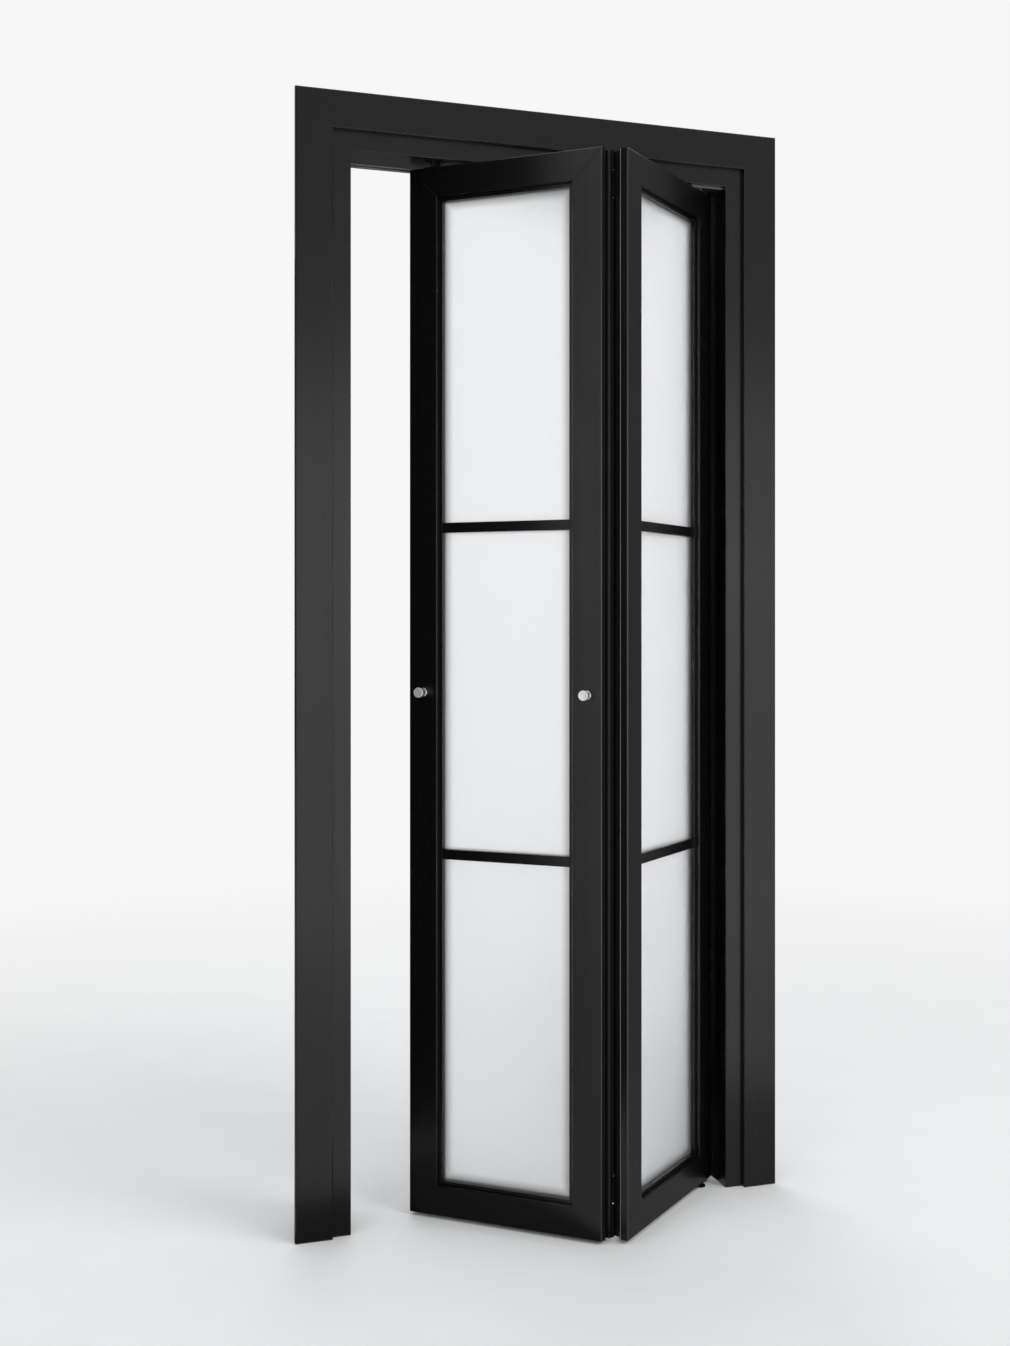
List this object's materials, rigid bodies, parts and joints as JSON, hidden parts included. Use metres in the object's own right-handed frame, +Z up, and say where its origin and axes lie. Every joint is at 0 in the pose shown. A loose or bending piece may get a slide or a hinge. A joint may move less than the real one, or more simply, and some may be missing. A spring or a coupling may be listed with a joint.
{
  "type": "folding door",
  "caption": "Glazed interior folding door in its lining, standing half folded, with mitred architraves, a head track, hinged meeting edges and knobs.",
  "frame": {"origin": "on the outer face of the left jamb, at floor level and in line with the front wall face", "axes": "+X to the right along the wall, +Y away from the room that the leaves fold into, +Z up"},
  "size_m": [1.021, 0.3128, 2.2105],
  "materials": {
    "black_lacquer": "satin black lacquer",
    "frosted_glass": "frosted white",
    "track_aluminium": "anodised satin",
    "plated_steel": "zinc plated",
    "bright_chrome": "polished",
    "black_rubber": "matt"
  },
  "bodies": {
    "root": {"left_jamb": "black_lacquer", "right_jamb": "black_lacquer", "head_jamb": "black_lacquer", "left_architrave": "black_lacquer", "right_architrave": "black_lacquer", "head_architrave": "black_lacquer", "left_leaf_left_stile": "black_lacquer", "left_leaf_right_stile": "black_lacquer", "left_leaf_top_rail": "black_lacquer", "left_leaf_bottom_rail": "black_lacquer", "left_leaf_back_bead": "black_lacquer", "left_leaf_front_bars": "black_lacquer", "left_leaf_back_bars": "black_lacquer", "right_leaf_left_stile": "black_lacquer", "right_leaf_right_stile": "black_lacquer", "right_leaf_top_rail": "black_lacquer", "right_leaf_bottom_rail": "black_lacquer", "right_leaf_back_bead": "black_lacquer", "right_leaf_front_bars": "black_lacquer", "right_leaf_back_bars": "black_lacquer", "left_leaf_glass": "frosted_glass", "right_leaf_glass": "frosted_glass", "head_track": "track_aluminium", "meeting_seal": "black_rubber", "back_seal": "black_rubber", "upper_hinge_left_flap": "plated_steel", "upper_hinge_right_flap": "plated_steel", "lower_hinge_left_flap": "plated_steel", "lower_hinge_right_flap": "plated_steel", "hinge_pins": "plated_steel", "top_pivot": "plated_steel", "bottom_pivot": "plated_steel", "top_pivot_socket": "plated_steel", "floor_pivot_plate": "plated_steel", "roller_arm": "plated_steel", "roller_carriage": "plated_steel", "left_knob": "bright_chrome", "right_knob": "bright_chrome"}
  },
  "joints": []
}
